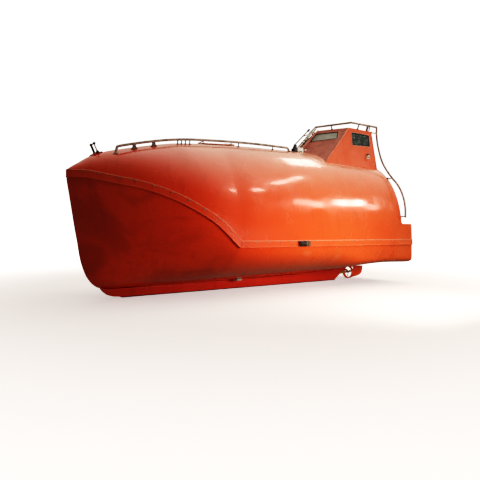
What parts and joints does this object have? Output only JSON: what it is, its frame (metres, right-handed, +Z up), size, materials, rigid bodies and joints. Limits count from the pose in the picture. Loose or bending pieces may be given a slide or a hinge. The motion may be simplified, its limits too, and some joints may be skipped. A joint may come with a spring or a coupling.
{
  "type": "enclosed free-fall lifeboat",
  "caption": "Small enclosed free-fall lifeboat with raised sheer, stern wheelhouse, stern door, top hatch, shaft, propeller and steering nozzle.",
  "frame": {"origin": "on the waterline, on the centre plane, amidships", "axes": "+X towards the bow, +Y to port, +Z up"},
  "size_m": [6.087, 2.4632, 2.992],
  "materials": {
    "hull_gelcoat": "glossy orange gelcoat on glass fibre, slightly weathered",
    "canopy_gelcoat": "glossy orange gelcoat on glass fibre",
    "shoe_steel": "dark painted steel, scuffed",
    "stainless": "dull stainless tube",
    "dark_steel": "dark galvanised and painted steel",
    "dark_plastic": "matte black",
    "white_plastic": "white moulded plastic",
    "inner_grey": "matte grey",
    "seat_vinyl": "orange-brown vinyl",
    "window_glass": "dark tinted glass",
    "anode_zinc": "dull grey zinc",
    "engine_iron": "painted casting",
    "bronze": "weathered bronze"
  },
  "bodies": {
    "boat": {"hull_shell": "hull_gelcoat", "keel": "hull_gelcoat", "keel_shoe": "shoe_steel", "band_aft_port": "canopy_gelcoat", "band_aft_stbd": "canopy_gelcoat", "band_fore_port": "canopy_gelcoat", "band_fore_stbd": "canopy_gelcoat", "canopy_shell": "canopy_gelcoat", "aft_bulkhead": "canopy_gelcoat", "stern_deck": "canopy_gelcoat", "door_hinge_1": "stainless", "door_hinge_2": "stainless", "wheelhouse_side_port": "canopy_gelcoat", "wheelhouse_side_stbd": "canopy_gelcoat", "wheelhouse_front_port": "canopy_gelcoat", "wheelhouse_front_stbd": "canopy_gelcoat", "wheelhouse_aft": "canopy_gelcoat", "wheelhouse_roof": "canopy_gelcoat", "side_window_port": "window_glass", "side_window_stbd": "window_glass", "front_window_port": "window_glass", "front_window_stbd": "window_glass", "aft_window": "window_glass", "helm_casing": "inner_grey", "helm_seat": "seat_vinyl", "helm_console": "inner_grey", "top_rail_port": "stainless", "top_rail_stbd": "stainless", "roof_rail": "stainless", "aft_rail_port": "stainless", "aft_rail_stbd": "stainless", "front_rails": "stainless", "bow_lug": "dark_steel", "lamp_mount": "dark_plastic", "canopy_lamp": "white_plastic", "side_lamp_port": "white_plastic", "lashing_bracket_port": "dark_steel", "lashing_bracket_stbd": "dark_steel", "anode_port": "anode_zinc", "anode_stbd": "anode_zinc", "release_hook": "stainless", "engine_block": "engine_iron", "stern_tube": "bronze", "rudder_tube": "stainless", "hatch_hinge_1": "stainless", "hatch_hinge_2": "stainless"},
    "propeller": {"propeller": "bronze"},
    "nozzle": {"steering_nozzle": "hull_gelcoat"},
    "door": {"stern_door": "canopy_gelcoat", "door_pane": "window_glass"},
    "hatch": {"escape_hatch": "canopy_gelcoat"}
  },
  "joints": [
    {"name": "propeller_spin", "type": "hinge", "parent": "boat", "child": "propeller", "pos_m": [-2.531, 0, -0.484], "axis": [1, 0, 0], "continuous": true},
    {"name": "steering", "type": "hinge", "parent": "boat", "child": "nozzle", "pos_m": [-2.531, 0, -0.484], "axis": [0, 0, 1], "range_deg": [-35, 35]},
    {"name": "stern_door_swing", "type": "hinge", "parent": "boat", "child": "door", "pos_m": [-2.744, 0.352, 1.01], "axis": [0, 0, -1], "range_deg": [0, 105]},
    {"name": "escape_hatch_swing", "type": "hinge", "parent": "boat", "child": "hatch", "pos_m": [0.41, 0, 1.746], "axis": [0, -1, 0], "range_deg": [0, 100]}
  ]
}
